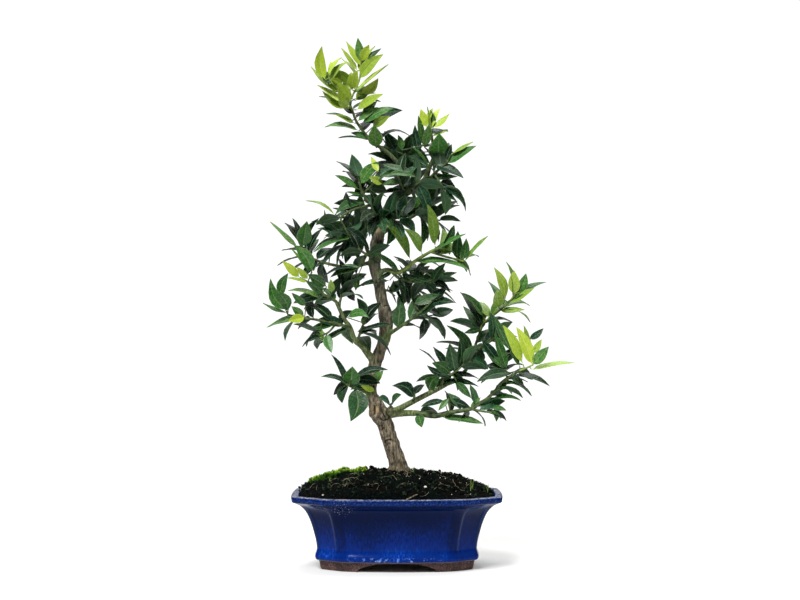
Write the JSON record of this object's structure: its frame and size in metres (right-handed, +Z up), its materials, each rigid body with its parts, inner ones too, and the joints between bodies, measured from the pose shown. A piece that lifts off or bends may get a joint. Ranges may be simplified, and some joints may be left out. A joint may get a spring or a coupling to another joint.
{
  "type": "myrtle-leaf orange bonsai",
  "caption": "Myrtle-leaf orange bonsai: a curved trunk with tiers of small pointed glossy leaves, rooted in a mossy soil mound in an oblong blue-glazed pot on corner feet.",
  "frame": {"origin": "on the surface that the pot's feet stand on, below the middle of the whole plant's box", "axes": "+Z up along the tree's height, +X along the pot's long side to the right, -Y towards the front of the tree"},
  "size_m": [0.2982, 0.1648, 0.5067],
  "materials": {
    "glaze": "glossy cobalt blue glaze, mottled, with unglazed brown feet",
    "soil": "damp dark soil under moss",
    "screen": "moulded mesh",
    "bark": "grey-brown fissured bark",
    "leaf_mature": "glossy dark green leaf",
    "leaf_green": "glossy mid-green leaf",
    "leaf_young": "soft yellow-green young leaf"
  },
  "bodies": {
    "root": {"pot": "glaze", "soil": "soil", "drain_screen_1": "screen", "drain_screen_2": "screen", "trunk": "bark", "spray_top": "leaf_mature", "spray_apex": "leaf_mature", "spray_crown_right": "leaf_mature", "spray_crown_front": "leaf_mature", "spray_crown_low": "leaf_mature", "spray_upper_left": "leaf_mature", "spray_left_hanging": "leaf_mature", "spray_left_upper": "leaf_mature", "spray_left_mid": "leaf_mature", "spray_left_low": "leaf_mature", "spray_left_top": "leaf_mature", "spray_mid_left": "leaf_mature", "spray_front_mid": "leaf_mature", "spray_right_mid": "leaf_mature", "spray_right_low": "leaf_mature", "spray_trunk_right": "leaf_mature", "spray_low_left": "leaf_mature", "spray_burr": "leaf_mature", "spray_lower_inner": "leaf_mature", "spray_lower_a": "leaf_mature", "spray_lower_a_mid": "leaf_mature", "spray_lower_b": "leaf_mature", "spray_lower_b_tip": "leaf_mature", "spray_back_low": "leaf_mature", "spray_back_mid": "leaf_mature", "spray_back_right": "leaf_mature", "spray_back_top": "leaf_mature", "spray_right_upper": "leaf_green", "spray_lower_a_tip": "leaf_green", "spray_top_young": "leaf_young", "spray_apex_young": "leaf_young", "spray_lower_young": "leaf_young"}
  },
  "joints": []
}
